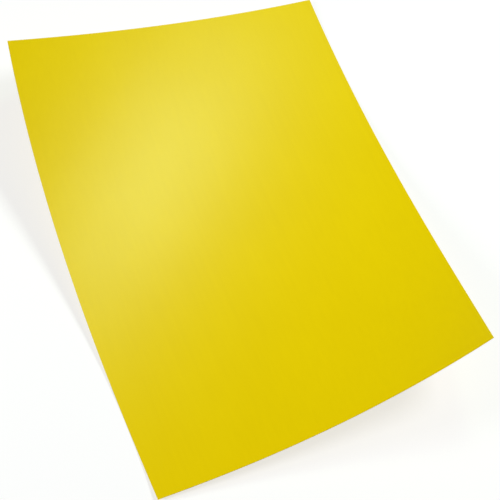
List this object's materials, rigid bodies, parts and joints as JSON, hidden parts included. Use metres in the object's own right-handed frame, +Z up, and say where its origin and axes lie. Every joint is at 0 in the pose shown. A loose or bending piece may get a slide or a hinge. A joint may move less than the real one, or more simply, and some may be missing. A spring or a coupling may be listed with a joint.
{
  "type": "welding curtain sheet",
  "caption": "Rectangular sheet of yellow welding curtain film with plain square-cut edges, lying in a gentle slantwise curl.",
  "frame": {"origin": "middle of the flat strip of the underside that the sheet rests on, which is the middle of the base of its bounding box", "axes": "+X along the sheet's short edges, +Y along its long edges towards the short edge it would hang by, +Z up, on the hollow side of the curl"},
  "size_m": [1.4012, 1.9792, 0.3793],
  "materials": {
    "yellow_film": "satin"
  },
  "bodies": {
    "root": {"curtain_sheet": "yellow_film"}
  },
  "joints": []
}
